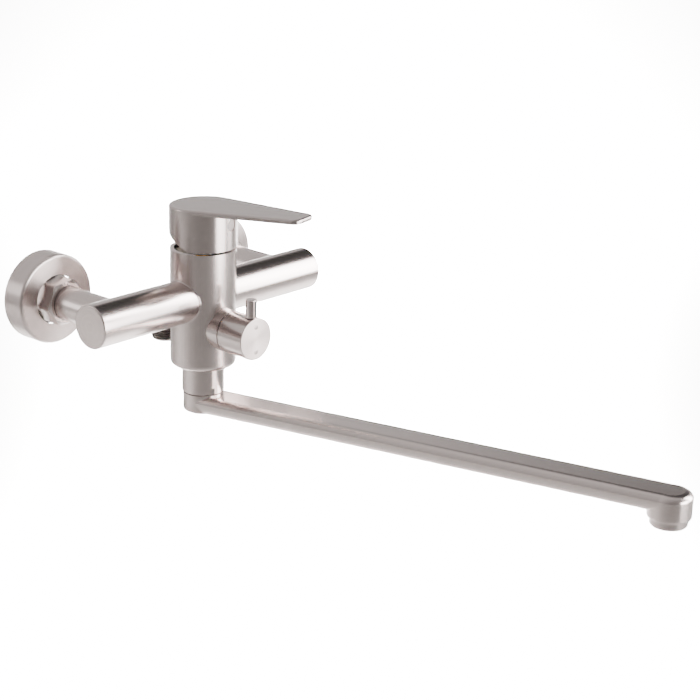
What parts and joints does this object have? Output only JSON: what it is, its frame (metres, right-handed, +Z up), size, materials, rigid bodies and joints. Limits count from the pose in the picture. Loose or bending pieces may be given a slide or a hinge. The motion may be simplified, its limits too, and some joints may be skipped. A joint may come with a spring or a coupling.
{
  "type": "wall mounted bath faucet",
  "caption": "Wall mounted single lever bath mixer in brushed stainless steel with round bar body, pin knob diverter, hose outlet and long flat swivel spout.",
  "frame": {"origin": "on the wall plane, midway between the two wall inlets", "axes": "+Z up, +Y into the wall along the inlet threads, +X to the right for a person facing the wall"},
  "size_m": [0.21, 0.4299, 0.1562],
  "materials": {
    "brushed_steel": "brushed stainless steel, fine directional grain",
    "polished_steel": "fine turned stainless steel, nearly polished",
    "machined_steel": "machined stainless steel, no surface finish",
    "raw_thread": "raw dark threaded steel",
    "plated_brass": "nickel plated brass",
    "brass": "machined brass",
    "rubber": "black moulded rubber",
    "grey_plastic": "moulded grey plastic",
    "white_plastic": "moulded white plastic",
    "ceramic": "lapped alumina ceramic"
  },
  "bodies": {
    "fixture": {"arm_left": "brushed_steel", "arm_right": "brushed_steel", "barrel": "brushed_steel", "cartridge_base": "grey_plastic", "cartridge_housing": "grey_plastic", "cartridge_nut": "brass", "cartridge_seals": "rubber", "ceramic_seat": "ceramic", "diverter_bonnet": "brushed_steel", "diverter_seat": "ceramic", "diverter_sleeve": "brass", "eccentric_union_left": "plated_brass", "eccentric_union_right": "plated_brass", "end_cap_left": "brushed_steel", "end_cap_right": "brushed_steel", "escutcheon_left": "brushed_steel", "escutcheon_right": "brushed_steel", "hose_elbow": "brushed_steel", "hose_nipple": "raw_thread", "inlet_leg_left": "brushed_steel", "inlet_leg_right": "brushed_steel", "neck_nut": "brushed_steel", "split_ring": "white_plastic", "spout_connector": "brass", "union_nut_left": "brushed_steel", "union_nut_right": "brushed_steel", "union_washer_left": "rubber", "union_washer_right": "rubber"},
    "handle_turntable": {"spindle_holder": "white_plastic", "spindle_pin": "machined_steel"},
    "mixing_slider": {"ceramic_slider": "ceramic", "disc_carrier": "white_plastic"},
    "lever": {"lever_handle": "brushed_steel", "lever_spindle": "brass", "lever_grub_screw": "machined_steel", "lever_screw_cover": "brushed_steel"},
    "diverter": {"diverter_knob": "brushed_steel", "knob_pin": "polished_steel", "diverter_spindle": "brass", "diverter_rotor": "ceramic", "diverter_ring": "rubber"},
    "spout_arm": {"spout": "brushed_steel", "spout_tail": "machined_steel", "spout_rings": "rubber", "slip_washer": "white_plastic", "aerator_ring": "brushed_steel", "aerator_insert": "white_plastic", "aerator_washer": "rubber"}
  },
  "joints": [
    {"name": "handle_turn", "type": "hinge", "parent": "fixture", "child": "handle_turntable", "pos_m": [0, -0.0775, 0.017], "axis": [0, 0, 1], "range_deg": [-57, 33]},
    {"name": "handle_lift", "type": "hinge", "parent": "handle_turntable", "child": "lever", "pos_m": [0, -0.0775, 0.017], "axis": [-0.9781, -0.2079, 0], "range_deg": [0, 23]},
    {"name": "slider_travel", "type": "slide", "parent": "handle_turntable", "child": "mixing_slider", "axis": [0.2079, -0.9781, 0], "range_m": [0, 0.00405]},
    {"name": "diverter_turn", "type": "hinge", "parent": "fixture", "child": "diverter", "pos_m": [0, -0.1225, -0.0268], "axis": [0, 1, 0], "range_deg": [0, 180]},
    {"name": "spout_swivel", "type": "hinge", "parent": "fixture", "child": "spout_arm", "pos_m": [0, -0.0775, -0.075], "axis": [0, 0, 1], "range_deg": [-104.2, 75.8]}
  ],
  "couplings": [
    {"joint": "slider_travel", "follows": "handle_lift", "m_per_rad": 0.010089}
  ]
}
